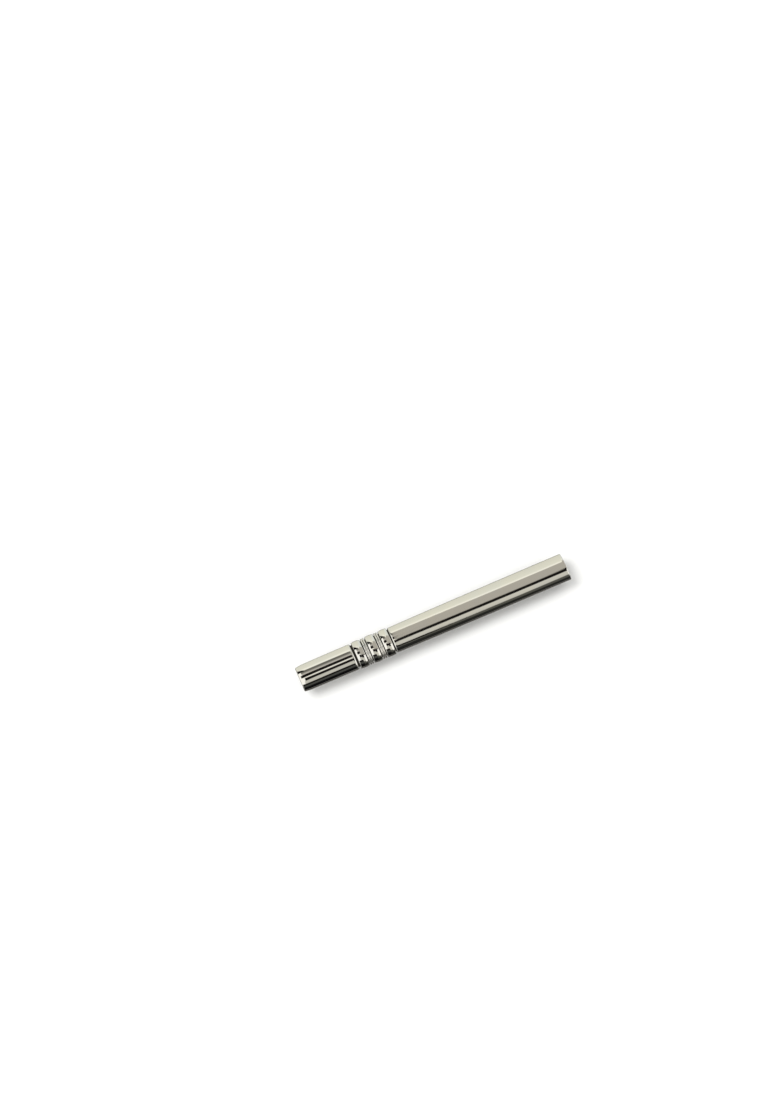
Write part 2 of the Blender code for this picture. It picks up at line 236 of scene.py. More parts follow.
def cap(shape, loop):
    """A fan of faces over a loop, round a vertex in its middle."""
    middle = shape.verts.new(sum((vert.co for vert in loop), Vector()) / len(loop))
    for i in range(len(loop)):
        shape.faces.new((loop[i], loop[(i + 1) % len(loop)], middle))


def shaded(shape, name):
    """The mesh of a bmesh, shaded smooth but for its sharp edges."""
    bmesh.ops.recalc_face_normals(shape, faces=shape.faces)
    mesh = bpy.data.meshes.new(name)
    shape.to_mesh(mesh)
    shape.free()
    mesh.shade_smooth()
    mesh.set_sharp_from_angle(angle=math.radians(SHARP_ANGLE))
    return mesh


def tube_mesh(name, stations, height, back_z):
    """A D-section tube through (x, half width, inset) stations, closed round its inner wall."""
    rows = [(x, outline(half, height, inset)) for x, half, inset in stations]
    inner_half = min(half for _, half, _ in stations)
    for x in (stations[-1][0], stations[0][0]):
        rows.append((x, outline(inner_half, height, WALL)))
    shape = bmesh.new()
    loops = []
    for x, points in rows:
        loops.append([shape.verts.new((x * MM, y * MM, (back_z + z) * MM)) for y, z in points])
    bridge(shape, loops + loops[:1])
    return shaded(shape, name)


def node_span(name):
    """(x from, x to, half width, height, height of the back) of a CAD node in millimetres."""
    low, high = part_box(name)
    return low.x / MM, high.x / MM, 0.5 * (high.y - low.y) / MM, (high.z - low.z) / MM, low.z / MM


def place(name, mesh, body, material, replaced):
    """Add a piece that rides on a body and stands for a CAD node."""
    obj = bpy.data.objects.new(name, mesh)
    bpy.context.scene.collection.objects.link(obj)
    obj.data.materials.append(material)
    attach(obj, body)
    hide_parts(replaced)
    return obj


def stations_along(x0, x1, half_at, left, right, steps):
    """(x, half width, inset) along a front piece; half_at gives its half width at a share of its length."""
    sides = []
    outermost = math.radians(EDGE_TILT)
    for x_end, inward, (reach, depth, edge) in ((x0, 1.0, left), (x1, -1.0, right)):
        side = []
        slope = math.atan(2.0 * depth / reach)
        run = edge * (1.0 - math.sin(slope))
        deep = edge * math.cos(slope)
        for i in range(EDGE_STEPS):
            tilt = outermost + (slope - outermost) * i / EDGE_STEPS
            side.append((edge * (1.0 - math.sin(tilt)), depth + deep - edge * math.cos(tilt)))
        for i in range(CROWN_STEPS + 1):
            along = i / CROWN_STEPS
            side.append((run + reach * along, depth * (1.0 - along) ** 2))
        sides.append([(x_end + inward * distance, inset) for distance, inset in side])
    start, end = sides
    x_from, x_to = start[-1][0], end[-1][0]
    middle = [(x_from + (x_to - x_from) * i / steps, 0.0) for i in range(1, steps)]
    places = start + middle + list(reversed(end))
    return [(x, half_at((x - x0) / (x1 - x0)), inset) for x, inset in places]


def front_piece(node, material, slimmer_by, left, right, steps):
    """A D-section tube round its CAD node; slimmer_by gives what its half width loses along it."""
    x0, x1, half, height, back = node_span(node)
    stations = stations_along(x0, x1, lambda share: half - slimmer_by(share), left, right, steps)
    mesh = tube_mesh(node + "_skin", stations, height, back)
    place(node + "_skin", mesh, "bar", material, node)


def long_slimming(share):
    """The long barrel is slimmer towards the collar, and very slightly so in its middle."""
    return LONG_TAPER * (1.0 - share) ** 3 + LONG_WAIST * share * (1.0 - share)


def short_slimming(share):
    """The short barrel is slimmer than the beads, most of all at its free end."""
    return SHORT_SLIMMER + SHORT_TAPER * (1.0 - share) ** 2


def crowned_piece(node, material, depth, edge):
    """A bead or ring, crowned along the bar from end to end, with rounded edges."""
    x0, x1, _, _, _ = node_span(node)
    end = (0.5 * (x1 - x0) - edge, depth, edge)
    front_piece(node, material, lambda share: 0.0, end, end, CROWNED_STEPS)


def shrunk(points, amount):
    """A section's outline drawn in by the amount on every side."""
    wide = max(y for y, _ in points)
    tall = 0.5 * (max(z for _, z in points) - min(z for _, z in points))
    middle = tall + min(z for _, z in points)
    return [(y * (wide - amount) / wide, middle + (z - middle) * (tall - amount) / tall) for y, z in points]


def end_plug(node, material):
    """A solid D-shaped stopper with a rounded rim, its middle slightly domed outwards."""
    x0, x1, _, _, _ = node_span(node)
    _, _, half, height, back = node_span("long_barrel")
    outer, inner = (x1, x0) if x1 > 0.0 else (x0, x1)
    inward = math.copysign(1.0, inner - outer)
    rows = [(inner, PLUG_GAP)]
    for step in range(PLUG_STEPS + 1):
        tilt = math.radians(90.0 * step / PLUG_STEPS)
        x = outer + inward * PLUG_RIM * (2.0 - math.sin(tilt))
        rows.append((x, PLUG_GAP + PLUG_RIM * (1.0 - math.cos(tilt))))
    for step in range(1, PLUG_STEPS + 1):
        share = step / PLUG_STEPS
        x = outer + inward * PLUG_RIM * (1.0 - share) ** 2
        rows.append((x, PLUG_GAP + PLUG_RIM + PLUG_DOME * share))
    bore = outline(half, height, WALL)
    shape = bmesh.new()
    loops = []
    for x, inset in rows:
        points = shrunk(bore, inset)
        loops.append([shape.verts.new((x * MM, y * MM, (back + z) * MM)) for y, z in points])
    bridge(shape, loops)
    cap(shape, loops[0])
    cap(shape, loops[-1])
    place(node + "_fine", shaded(shape, node + "_fine"), "bar", material, node)


# ---------------------------------------------------------------- clasp
TURN_STEPS = 64                 # facets round a turned piece
RIVET_SHANK = 0.50              # radius
RIVET_HEAD_HEIGHT = 0.32
RIVET_RIM = 0.12                # upright part of the head, below its dome
RIVET_STEPS = 8
PIN_SHANK = 0.40                # radius
PIN_HEAD = 0.18                 # thickness
PIN_ROUND = 0.06
PIN_STEPS = 5
PIN_HOLE = 0.45                 # radius
DRILL_REACH = 4.0

ARM_SHEET = 0.40
ARM_EDGE = 0.07
BRACKET_EDGE = 0.06
LEAF_EDGE = 0.04
ARM_FOLD_RADIUS = 0.50
ARM_LIP = 0.25                  # straight part of the folded side, above the fold
ARM_TAIL = 0.80                 # from the pin to the tail end
ARM_HINGE_HALF_WIDTH = 1.50
ARM_HALF_WIDTH = 1.85
ARM_FRONT_HALF_WIDTH = 1.60
NECK_X0, NECK_X1 = 25.7, 23.0           # where the arm widens from its hinge
UNFOLD_X0, UNFOLD_X1 = -11.5, -15.0     # where its folded sides open out flat
CAM_RADIUS = 0.78
CAM_FLAT = 0.70                 # height of the cam's flat over the pin's axis
RISE_X = -15.5                  # where the arm starts to rise to the crest that grips the tie
RISE_ANGLE = math.radians(22.0)
RISE_RADIUS = 4.0
CREST_RADIUS = 1.5
CREST_GAP = 0.05
TAB_ANGLE = math.radians(30.0)
TAB_LENGTH = 2.6
TAB_ROUND = 1.2
TAB_ROUND_TILTS = (12.0, 24.0, 36.0, 48.0, 60.0, 70.0, 77.0)
TAB_FULLNESS = 0.7              # 1 for a half-round tab end, less for a squarer one
# Shares of the unfolded arm's half width that its web, its fold and its side take up.
OPEN_FLAT, OPEN_FOLD, OPEN_LIP = 0.55, 0.33, 0.12
CAM_TANGENT = math.sin(math.radians(45.0))
CAM_FOOT = 2.05                 # where the cam's slope has run down to the side, in cam radii from the pin
WEB_STEPS, FOLD_STEPS = 4, 8
CAM_STEPS, NECK_STEPS, BODY_STEPS, UNFOLD_STEPS = 16, 6, 8, 12
RISE_STEPS, CLIMB_STEPS, CREST_STEPS, TAB_STEPS, FLAT_STEPS = 10, 2, 8, 10, 2


def turned(name, profile, centre, across=False):
    """A turned piece from (radius, height) points; its axis is upright, or along Y when across."""
    shape = bmesh.new()
    rings = []
    for radius, height in profile:
        ring = []
        for step in range(TURN_STEPS if radius > 0.0 else 1):
            around = 2.0 * math.pi * step / TURN_STEPS
            u, v = radius * math.cos(around), radius * math.sin(around)
            offset = Vector((u, height, v)) if across else Vector((u, v, height))
            ring.append(shape.verts.new((centre + offset) * MM))
        rings.append(ring)
    for near, far in zip(rings, rings[1:]):
        for i in range(TURN_STEPS):
            j = (i + 1) % TURN_STEPS
            corners = [near[i % len(near)], near[j % len(near)], far[j % len(far)], far[i % len(far)]]
            shape.faces.new(list(dict.fromkeys(corners)))
    return shaded(shape, name)


def node_centre(name):
    """Middle of a CAD node in millimetres."""
    low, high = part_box(name)
    return 0.5 * (low + high) / MM


def rivet(node, material):
    """Domed head below the leaf spring, shank up into the rail."""
    low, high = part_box(node)
    centre = node_centre(node)
    head = 0.5 * (high.x - low.x) / MM
    shank_top = high.z / MM - centre.z
    under_leaf = low.z / MM - centre.z + RIVET_HEAD_HEIGHT
    profile = [(0.0, shank_top), (RIVET_SHANK, shank_top), (RIVET_SHANK, under_leaf), (head, under_leaf)]
    dome = RIVET_HEAD_HEIGHT - RIVET_RIM
    for step in range(RIVET_STEPS):
        tilt = math.radians(90.0 * step / RIVET_STEPS)
        profile.append((head * math.cos(tilt), under_leaf - RIVET_RIM - dome * math.sin(tilt)))
    profile.append((0.0, under_leaf - RIVET_RIM - dome))
    mesh = turned(node + "_fine", profile, centre)
    place(node + "_fine", mesh, "bar", material, node)


def hinge_pin(material):
    """Pin with a flat head at each end, rounded at its rim."""
    low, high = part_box("hinge_pin")
    head = 0.5 * (high.x - low.x) / MM
    outside = 0.5 * (high.y - low.y) / MM
    half = [(0.0, outside)]
    for step in range(PIN_STEPS + 1):
        tilt = math.radians(90.0 * step / PIN_STEPS)
        radius = head - PIN_ROUND * (1.0 - math.sin(tilt))
        half.append((radius, outside - PIN_ROUND * (1.0 - math.cos(tilt))))
    half += [(head, outside - PIN_HEAD), (PIN_SHANK, outside - PIN_HEAD)]
    profile = half + [(radius, -height) for radius, height in reversed(half)]
    mesh = turned("hinge_pin_fine", profile, node_centre("hinge_pin"), across=True)
    place("hinge_pin_fine", mesh, "bar", material, "hinge_pin")


def fraction(value, start, end):
    """How far the value is from start to end, kept to 0 to 1."""
    return min(max((value - start) / (end - start), 0.0), 1.0)


def between(start, end, share):
    """The value at this share of the way from start to end."""
    return start + share * (end - start)


def cam_lip(x, pin):
    """Length of the straight part of the arm's side at this place, with the cam round the pin."""
    from_pin = abs(x - pin.x)
    tangent = CAM_RADIUS * CAM_TANGENT
    if from_pin < tangent:
        top = pin.z + min(math.sqrt(CAM_RADIUS ** 2 - from_pin ** 2), CAM_FLAT)
    else:
        top = pin.z + 2.0 * tangent - from_pin
    return max(top - ARM_FOLD_RADIUS, ARM_LIP)


def arm_section(x, pin):
    """Half of the folded sheet's section at x, from the middle outwards, as (y, height) points."""
    half = between(ARM_HINGE_HALF_WIDTH, ARM_HALF_WIDTH, fraction(x, NECK_X0, NECK_X1))
    half = between(half, ARM_FRONT_HALF_WIDTH, fraction(x, NECK_X1, UNFOLD_X0))
    unfolded = fraction(x, UNFOLD_X0, UNFOLD_X1)
    flat = between(half - ARM_FOLD_RADIUS, OPEN_FLAT * ARM_FRONT_HALF_WIDTH, unfolded)
    fold = between(ARM_FOLD_RADIUS * math.pi / 2.0, OPEN_FOLD * ARM_FRONT_HALF_WIDTH, unfolded)
    lip = between(cam_lip(x, pin), OPEN_LIP * ARM_FRONT_HALF_WIDTH, unfolded)
    angle = math.radians(90.0 * (1.0 - unfolded))
    points = [(flat * i / WEB_STEPS, 0.0) for i in range(WEB_STEPS + 1)]
    y, height = flat, 0.0
    for step in range(FOLD_STEPS):
        heading = angle * (step + 0.5) / FOLD_STEPS
        y += fold / FOLD_STEPS * math.cos(heading)
        height += fold / FOLD_STEPS * math.sin(heading)
        points.append((y, height))
    for share in (0.5, 1.0):
        points.append((y + share * lip * math.cos(angle), height + share * lip * math.sin(angle)))
    return points


def arm_path(pin, back):
    """Stations from tail to tab: (x, z, slope of the sheet, x that sets the section, its scale)."""
    reach = CAM_RADIUS * CAM_TANGENT
    places = [pin.x + ARM_TAIL]
    places += [pin.x + reach * (1.0 - 2.0 * i / CAM_STEPS) for i in range(CAM_STEPS + 1)]
    places += [pin.x - CAM_RADIUS * CAM_FOOT]
    places += [between(NECK_X0, NECK_X1, i / NECK_STEPS) for i in range(NECK_STEPS + 1)]
    places += [between(NECK_X1, UNFOLD_X0, i / BODY_STEPS) for i in range(1, BODY_STEPS + 1)]
    places += [between(UNFOLD_X0, UNFOLD_X1, i / UNFOLD_STEPS) for i in range(1, UNFOLD_STEPS + 1)]
    stations = [(x, 0.0, 0.0, x, 1.0) for x in places]
    x, z, slope = RISE_X, 0.0, 0.0
    stations.append((x, z, slope, x, 1.0))
    turns = RISE_RADIUS + CREST_RADIUS
    climb = back - CREST_GAP - ARM_SHEET - turns * (1.0 - math.cos(RISE_ANGLE))
    moves = (                   # (turn, or None for a straight run; radius or length; steps)
        (RISE_ANGLE, RISE_RADIUS, RISE_STEPS), (None, climb / math.sin(RISE_ANGLE), CLIMB_STEPS),
        (-RISE_ANGLE, CREST_RADIUS, CREST_STEPS), (-TAB_ANGLE, CREST_RADIUS, TAB_STEPS),
        (None, TAB_LENGTH - TAB_ROUND, FLAT_STEPS))
    for turn, size, steps in moves:
        for _ in range(steps):
            if turn is None:
                length, heading = size / steps, slope
            else:
                length = 2.0 * size * math.sin(0.5 * abs(turn) / steps)
                heading = slope + 0.5 * turn / steps
                slope += turn / steps
            x -= length * math.cos(heading)
            z += length * math.sin(heading)
            stations.append((x, z, slope, RISE_X, 1.0))
    for tilt in TAB_ROUND_TILTS:
        along = TAB_ROUND * math.sin(math.radians(tilt))
        scale = math.cos(math.radians(tilt)) ** TAB_FULLNESS
        stations.append((x - along * math.cos(slope), z + along * math.sin(slope), slope, RISE_X, scale))
    return stations


def clasp_arm(material):
    """The folded spring arm: a lofted sheet with thickness, drilled for the pin, its edges rounded."""
    pin = node_centre("hinge_pin")
    back = node_span("long_barrel")[4]
    sheet = bmesh.new()
    rows = []
    for x, z, slope, key, scale in arm_path(pin, back):
        half = arm_section(key, pin)
        points = [(-y, height) for y, height in reversed(half[1:])] + half
        row = []
        for y, height in points:
            along, up = x + height * math.sin(slope), z + height * math.cos(slope)
            row.append(sheet.verts.new((along * MM, y * scale * MM, up * MM)))
        rows.append(row)
    for near, far in zip(rows, rows[1:]):
        for i in range(len(near) - 1):
            sheet.faces.new((near[i], far[i], far[i + 1], near[i + 1]))
    mesh = bpy.data.meshes.new("clasp_arm_fine")
    sheet.to_mesh(mesh)
    sheet.free()
    mesh.shade_smooth()
    obj = place("clasp_arm_fine", mesh, "arm", material, "clasp_arm")
    thick = obj.modifiers.new("Sheet", "SOLIDIFY")
    thick.thickness = ARM_SHEET * MM
    thick.offset = -1.0
    thick.use_even_offset = True
    drill(obj, pin)
    bevel(obj, ARM_EDGE)
    smooth_by_angle(obj)


def drill(obj, pin):
    """A hole across the piece, round the hinge's pin."""
    low, high = -DRILL_REACH, DRILL_REACH
    profile = [(0.0, low), (PIN_HOLE, low), (PIN_HOLE, high), (0.0, high)]
    bit = turned("arm_pin_drill", profile, pin, across=True)
    tool = bpy.data.objects.new("arm_pin_drill", bit)
    hole = obj.modifiers.new("Pin hole", "BOOLEAN")
    hole.operation = "DIFFERENCE"
    hole.solver = "EXACT"
    hole.object = tool


def bevel(obj, width):
    """Round the edges that are sharper than BEVEL_ANGLE."""
    rounding = obj.modifiers.new("Rounded edges", "BEVEL")
    rounding.width = width * MM
    rounding.segments = BEVEL_SEGMENTS
    rounding.limit_method = "ANGLE"
    rounding.use_clamp_overlap = False
    rounding.angle_limit = math.radians(BEVEL_ANGLE)


def smooth_by_angle(obj):
    """Shade smoothly across all but the sharp edges, after the other modifiers."""
    group = bpy.data.node_groups.get("smooth_by_angle")
    if group is None:
        group = bpy.data.node_groups.new("smooth_by_angle", "GeometryNodeTree")
        group.interface.new_socket("Geometry", in_out="INPUT", socket_type="NodeSocketGeometry")
        group.interface.new_socket("Geometry", in_out="OUTPUT", socket_type="NodeSocketGeometry")
        tree = Tree(group)
        angle = tree.node("GeometryNodeInputMeshEdgeAngle").outputs["Unsigned Angle"]
        sharp = tree.node("FunctionNodeCompare", data_type="FLOAT", operation="GREATER_THAN")
        tree.feed(sharp.inputs[0], angle)
        tree.feed(sharp.inputs[1], math.radians(CREASE_ANGLE))
        faces = tree.node("GeometryNodeSetShadeSmooth", domain="FACE")
        edges = tree.node("GeometryNodeSetShadeSmooth", domain="EDGE")
        edges.inputs["Shade Smooth"].default_value = False
        tree.feed(faces.inputs["Geometry"], tree.node("NodeGroupInput").outputs[0])
        tree.feed(edges.inputs["Geometry"], faces.outputs[0])
        tree.feed(edges.inputs["Selection"], sharp.outputs[0])
        tree.feed(tree.node("NodeGroupOutput").inputs[0], edges.outputs[0])
    shading = obj.modifiers.new("Smooth by angle", "NODES")
    shading.node_group = group


def dress(node, material, edge=None):
    """Give a CAD node that stays its finish, and round its edges where edge gives a radius."""
    obj = nodes[node]
    obj.data.materials.clear()
    obj.data.materials.append(material)
    weld = obj.modifiers.new("Joined faces", "WELD")
    weld.merge_threshold = WELD_REACH * MM
    if edge is not None:
        bevel(obj, edge)
    smooth_by_angle(obj)


# ---------------------------------------------------------------- materials
PLATE, PLATE_COOL = (0.478, 0.459, 0.418), (0.462, 0.452, 0.424)
# The first black is the rail's oxide, and also the near-black of the painted shade in the grooves of the
# polished pieces.
OXIDE_AND_SHADE, OXIDE_THIN = (0.010, 0.009, 0.008), (0.024, 0.019, 0.013)
STEEL, STEEL_DULL = (0.53, 0.51, 0.475), (0.45, 0.44, 0.42)
SPRING, SPRING_TINT = (0.33, 0.335, 0.35), (0.38, 0.365, 0.345)
PAPER = (0.86, 0.86, 0.85, 1.0)
NOISE_LOW, NOISE_HIGH = 0.3, 0.7        # most of a noise's values lie between these
# Painted shade: faces that point along the bar, the walls of the grooves, are coloured near-black, from the
# first of these shares of squareness to the second, and only inside the bar's ends, from the first of these
# distances in millimetres to the second.
GROOVE_TILT = (0.90, 0.98)
END_MARGIN = (0.3, 0.7)


def principled(name):
    """A new material, with a helper for its nodes and its shader."""
    material = bpy.data.materials.new(name)
    material.use_nodes = True
    return material, Tree(material.node_tree), material.node_tree.nodes["Principled BSDF"]


def grain(tree, per_mm, detail=2.0, along=1.0):
    """Noise with this many features per millimetre; along below 1 draws them out along the bar."""
    coordinates = tree.node("ShaderNodeTexCoord").outputs["Object"]
    mapping = tree.node("ShaderNodeMapping")
    tree.feed(mapping.inputs["Vector"], coordinates)
    mapping.inputs["Scale"].default_value = (along * per_mm / MM, per_mm / MM, per_mm / MM)
    noise = tree.node("ShaderNodeTexNoise")
    tree.feed(noise.inputs["Vector"], mapping.outputs["Vector"])
    noise.inputs["Scale"].default_value = 1.0
    noise.inputs["Detail"].default_value = detail
    return noise.outputs["Fac"]


def scaled(tree, value, low, high):
    """A noise's useful range spread from low to high."""
    spread = tree.node("ShaderNodeMapRange")
    tree.feed(spread.inputs["Value"], value)
    tree.feed(spread.inputs["From Min"], NOISE_LOW)
    tree.feed(spread.inputs["From Max"], NOISE_HIGH)
    tree.feed(spread.inputs["To Min"], low)
    tree.feed(spread.inputs["To Max"], high)
    return spread.outputs["Result"]


def relief(tree, shader, *layers):
    """Bumps of (height field, depth in metres) layers, one over another."""
    normal = None
    for field, depth in layers:
        bump = tree.node("ShaderNodeBump")
        bump.inputs["Strength"].default_value = 1.0
        bump.inputs["Distance"].default_value = depth
        tree.feed(bump.inputs["Height"], field)
        if normal is not None:
            tree.feed(bump.inputs["Normal"], normal)
        normal = bump.outputs["Normal"]
    tree.feed(shader.inputs["Normal"], normal)


def gunmetal():
    """Mirror-polished dark plate: faint mottling, hairline scratches, and painted shade that blackens the
    piece ends in the grooves.
    """
    material, tree, shader = principled("polished_gunmetal")
    place_in = tree.node("ShaderNodeTexCoord")
    facing = tree.node("ShaderNodeSeparateXYZ")
    tree.feed(facing.inputs[0], place_in.outputs["Normal"])
    where = tree.node("ShaderNodeSeparateXYZ")
    tree.feed(where.inputs[0], place_in.outputs["Object"])
    # Painted shade in the grooves: piece ends facing along the bar, away from its outer ends, turn
    # near-black and rougher.
    end_face = tree.smooth(tree.math("ABSOLUTE", facing.outputs["X"]), *GROOVE_TILT)
    margins = [cad_high.x - margin * MM for margin in END_MARGIN]
    inside = tree.smooth(tree.math("ABSOLUTE", where.outputs["X"]), *margins)
    groove_shade = tree.math("MULTIPLY", end_face, inside)
    mottled = tree.mix(scaled(tree, grain(tree, 0.35, 3.0), 0.0, 1.0), PLATE, PLATE_COOL)
    tree.feed(shader.inputs["Base Color"], tree.mix(groove_shade, mottled, OXIDE_AND_SHADE))
    shader.inputs["Metallic"].default_value = 1.0
    hairlines = grain(tree, 30.0, 2.0, 0.02)
    handled = scaled(tree, grain(tree, 0.8, 4.0), 0.0, 0.02)
    haze = tree.math("ADD", scaled(tree, hairlines, 0.018, 0.050), handled)
    tree.feed(shader.inputs["Roughness"], tree.math("ADD", haze, tree.math("MULTIPLY", groove_shade, 0.4)))
    relief(tree, shader, (grain(tree, 0.5, 1.0), 2.5e-6), (hairlines, 8.0e-8))
    return material


def plated_steel():
    """Stamped sheet, tumbled and thinly plated: fine pits, drawn lines and a cloudy plate."""
    material, tree, shader = principled("plated_steel")
    cloud = scaled(tree, grain(tree, 0.5, 4.0), 0.0, 1.0)
    tree.feed(shader.inputs["Base Color"], tree.mix(cloud, STEEL, STEEL_DULL))
    shader.inputs["Metallic"].default_value = 1.0
    drawn = grain(tree, 9.0, 3.0, 0.04)
    pits = grain(tree, 6.0, 3.0)
    rough = tree.math("ADD", scaled(tree, drawn, 0.13, 0.24), scaled(tree, pits, 0.0, 0.08))
    tree.feed(shader.inputs["Roughness"], rough)
    relief(tree, shader, (pits, 6.0e-6), (drawn, 3.0e-6))
    return material


def spring_steel():
    """Ground and tempered strip: lines along its length and a bluish temper tint."""
    material, tree, shader = principled("spring_steel")
    tint = scaled(tree, grain(tree, 0.25, 2.0), 0.0, 1.0)
    tree.feed(shader.inputs["Base Color"], tree.mix(tint, SPRING, SPRING_TINT))
    shader.inputs["Metallic"].default_value = 1.0
    shader.inputs["Anisotropic"].default_value = 0.5
    ground = grain(tree, 14.0, 4.0, 0.03)
    tree.feed(shader.inputs["Roughness"], scaled(tree, ground, 0.20, 0.38))
    relief(tree, shader, (ground, 5.0e-6))
    return material


def blackened_brass():
    """Drawn brass under black oxide, thin enough in places for the brass to warm it."""
    material, tree, shader = principled("blackened_brass")
    thin = scaled(tree, grain(tree, 1.5, 4.0), 0.0, 1.0)
    tree.feed(shader.inputs["Base Color"], tree.mix(thin, OXIDE_AND_SHADE, OXIDE_THIN))
    shader.inputs["Specular IOR Level"].default_value = 0.2
    drawn = grain(tree, 10.0, 3.0, 0.03)
    tree.feed(shader.inputs["Roughness"], scaled(tree, drawn, 0.40, 0.60))
    relief(tree, shader, (drawn, 4.0e-6))
    return material


# ---------------------------------------------------------------- studio
CREAM_TOP = (1.28, 1.30, 1.16)
CREAM = (1.50, 1.51, 1.36)
CREAM_LOW = (1.96, 1.96, 1.81)
GREY = (0.84, 0.81, 0.74)
GREY_DARK = (0.27, 0.265, 0.24)
GREY_LOW = (1.22, 1.18, 1.10)
BLACK = (0.012, 0.011, 0.010)
BRIGHT = (1.08, 1.07, 1.00)
BRIGHT_TOP = (1.20, 1.19, 1.10)
BRIGHT_LINE = (1.62, 1.60, 1.50)
MID = (0.12, 0.125, 0.12)
MID_HINGE = (0.17, 0.172, 0.155)
DARK = (0.008, 0.008, 0.009)
DARK_HINGE = (0.035, 0.036, 0.034)
GLOW = (0.30, 0.30, 0.29)
CLOTH = (0.05, 0.05, 0.052)
FLOOR = (0.55, 0.54, 0.52)
COOL = (1.42, 1.50, 1.46)
WHITE = (2.0, 2.0, 1.97)
LOW_WHITE = (0.80, 0.80, 0.79)
AMBIENT = (0.92, 0.92, 0.91)            # what the camera and matt surfaces see
SOFT = 0.5                              # half the run between two bands, in degrees


def bands(tree, level, *pairs):
    """Bands of colour round the bar, each (colour at its start, colour at its end, angle it ends at)."""
    stops = []
    start = -180.0
    for first, last, end in pairs:
        stops += [(start, first), (end - SOFT, last)]
        start = end + SOFT
    return tree.ramp(level, stops, -180.0, 180.0)


def studio(tree, direction):
    """What the metal reflects: strip lights along the bar and large white panels beyond its two ends.

    Angles go round the bar in degrees from straight up, positive towards the near side. The lights over
    the mouth end and over the hinge end differ, and x tells which of them a reflection reaches.
    """
    split = tree.node("ShaderNodeSeparateXYZ")
    tree.feed(split.inputs[0], direction)
    x, y, z = split.outputs
    angle = tree.math("DEGREES", tree.math("ARCTAN2", tree.math("MULTIPLY", y, -1.0), z))

    def both(*factors):
        """The product of the factors."""
        product = factors[0]
        for factor in factors[1:]:
            product = tree.math("MULTIPLY", product, factor)
        return product

    def within(value, low, high, soft):
        """1 between low and high, 0 outside, with soft edges."""
        return both(tree.smooth(value, low - soft, low + soft), tree.smooth(value, high + soft, high - soft))

    # The strips aren't quite parallel to the bar: they drift towards its near side, then come back.
    back_again = both(tree.smooth(x, 0.16, 0.25), tree.smooth(angle, -8.0, -28.0))
    drift = both(tree.smooth(x, 0.045, 0.140), tree.math("SUBTRACT", 1.0, back_again), 9.0)
    level = tree.math("ADD", tree.math("SUBTRACT", angle, drift), 3.0)

    around = ((DARK, DARK, 60.0), (GLOW, GLOW, 88.0), (CLOTH, CLOTH, 134.0), (FLOOR, FLOOR, 180.0))
    mouth = bands(
        tree, level, (FLOOR, FLOOR, -100.0), (CREAM_TOP, CREAM, -50.0), (CREAM, CREAM_LOW, -37.7),
        (GREY_DARK, GREY_DARK, -29.6), (GREY_DARK, GREY_LOW, -18.0), (BLACK, BLACK, -6.2),
        (BRIGHT_LINE, BRIGHT_LINE, -0.2), (BLACK, BLACK, 11.0), (BRIGHT, BRIGHT, 24.8), (BLACK, BLACK, 32.3),
        (MID, MID, 41.5), *around)
    hinge = bands(
        tree, level, (FLOOR, FLOOR, -100.0), (CREAM_TOP, CREAM, -50.0), (CREAM, CREAM_LOW, -39.6),
        (GREY, GREY, -4.3), (BLACK, BLACK, 8.3), (BRIGHT_TOP, BRIGHT, 26.5), (MID_HINGE, MID_HINGE, 36.5),
        (DARK_HINGE, DARK_HINGE, 60.0), *around[1:])
    beyond = bands(
        tree, level, (FLOOR, FLOOR, -100.0), (GREY, COOL, -35.0), (WHITE, WHITE, 40.0),
        (LOW_WHITE, GLOW, 140.0), (FLOOR, FLOOR, 180.0))
    seen = tree.mix(tree.smooth(x, 0.066, 0.074), mouth, hinge)
    low_gap = both(tree.smooth(x, 0.105, 0.085), within(level, 25.3, 32.0, 0.6))
    seen = tree.mix(low_gap, seen, BLACK)

    # Short panels and gaps, which the crowned beads, the rings and the barrels' ends reflect.
    left_edge = tree.math("SUBTRACT", x, both(within(level, -4.0, 12.0, 3.0), 0.06))
    left_panel = both(tree.smooth(left_edge, -0.18, -0.23), within(level, -34.0, 24.0, 0.8))
    seen = tree.mix(left_panel, seen, WHITE)
    left_strip = both(within(x, -0.28, 0.04, 0.02), within(level, -18.0, -6.2, 0.6))
    seen = tree.mix(left_strip, seen, BLACK)
    left_spot = both(within(x, -0.14, 0.030, 0.02), within(level, -1.0, 11.0, 0.6))
    right_spot = both(within(x, 0.15, 0.36, 0.02), within(level, -8.0, 6.5, 0.6))
    seen = tree.mix(tree.math("MAXIMUM", left_spot, right_spot), seen, BLACK)
    slope = tree.math("SUBTRACT", level, both(tree.math("MINIMUM", x, 0.0), 35.0))
    under_slope = both(tree.smooth(slope, -38.5, -37.5), tree.smooth(level, -33.5, -34.5))
    seen = tree.mix(both(tree.smooth(x, 0.0, -0.04), under_slope), seen, DARK)
    right_panel = both(tree.smooth(x, 0.33, 0.38), within(level, -2.0, 31.0, 1.0))
    seen = tree.mix(right_panel, seen, WHITE)
    far_panel = both(within(x, 0.28, 0.60, 0.05), within(level, -90.0, -38.0, 1.0))
    seen = tree.mix(far_panel, seen, COOL)
    ends = tree.math("MAXIMUM", tree.smooth(x, 0.58, 0.66), tree.smooth(x, -0.45, -0.52))
    return tree.mix(ends, seen, beyond)


def studio_world():
    """The studio in reflections, and an even light for everything else."""
    world = bpy.data.worlds.new("studio")
    bpy.context.scene.world = world
    world.use_nodes = True
    world.node_tree.nodes.clear()
    tree = Tree(world.node_tree)
    direction = tree.node("ShaderNodeTexCoord").outputs["Generated"]
    glossy = tree.node("ShaderNodeLightPath").outputs["Is Glossy Ray"]
    colour = tree.mix(glossy, AMBIENT, studio(tree, direction))
    background = tree.node("ShaderNodeBackground")
    tree.feed(background.inputs["Color"], colour)
    out = tree.node("ShaderNodeOutputWorld")
    tree.feed(out.inputs["Surface"], background.outputs[0])


FLOOR_REACH = 3.0                       # metres from its middle to each side
FLOOR_GAP = 0.02                        # millimetres below the object


